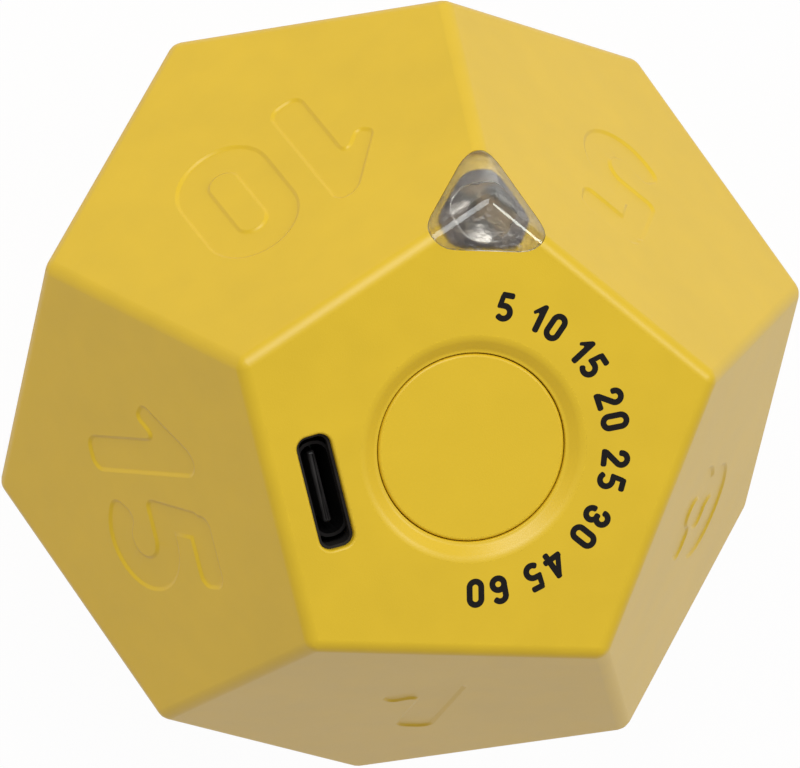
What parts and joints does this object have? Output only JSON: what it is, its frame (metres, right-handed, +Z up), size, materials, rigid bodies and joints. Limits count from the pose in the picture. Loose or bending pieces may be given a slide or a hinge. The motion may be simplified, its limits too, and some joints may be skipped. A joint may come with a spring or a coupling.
{
  "type": "twelve-sided timer",
  "caption": "Twelve-sided yellow flip timer with a round push button, a clear lit corner and a charging port on one face, and plain flat faces to stand on.",
  "frame": {"origin": "middle of the face it stands on, under the middle of the button", "axes": "+Z up through the button, +Y towards the clear corner, +X to the right seen from above with the clear corner at the top"},
  "size_m": [0.0698, 0.0734, 0.06],
  "materials": {
    "shell_plastic": "moulded, fine satin",
    "button_plastic": "moulded, fine satin",
    "lens_plastic": "polished, clear",
    "light_resin": "polished, clear",
    "leg_metal": "tinned",
    "socket_metal": "dark plated",
    "tongue_plastic": "moulded",
    "surround_rubber": "moulded",
    "board_laminate": "coated",
    "screw_steel": "plated",
    "switch_plastic": "moulded",
    "switch_steel": "plated",
    "chip_resin": "moulded",
    "crystal_steel": "plated",
    "buzzer_plastic": "moulded",
    "jack_plastic": "moulded",
    "cell_foil": "satin foil",
    "pad_foam": "foam",
    "red_sleeve": "extruded",
    "black_sleeve": "extruded"
  },
  "bodies": {
    "case": {"upper_shell": "shell_plastic", "lower_shell": "shell_plastic", "corner_lens": "lens_plastic", "light": "light_resin", "light_leg_left": "leg_metal", "light_leg_right": "leg_metal", "main_board": "board_laminate", "socket_shell": "socket_metal", "socket_tongue": "tongue_plastic", "port_surround": "surround_rubber", "switch_body": "switch_plastic", "switch_cover": "switch_steel", "board_screw_1": "screw_steel", "board_screw_2": "screw_steel", "board_screw_3": "screw_steel", "processor_chip": "chip_resin", "charge_chip": "chip_resin", "tilt_sensor": "chip_resin", "watch_crystal": "crystal_steel", "buzzer": "buzzer_plastic", "battery_jack": "jack_plastic", "battery_plug": "jack_plastic", "battery_cell": "cell_foil", "cell_pad": "pad_foam", "lead_red": "red_sleeve", "lead_black": "black_sleeve"},
    "button": {"button_cap": "button_plastic", "switch_plunger": "switch_plastic"}
  },
  "joints": [
    {"name": "button_press", "type": "slide", "parent": "case", "child": "button", "axis": [0, 0, -1], "range_m": [0, 0.0005], "stiffness_N_per_m": 3500, "springref_m": -0.0001}
  ]
}
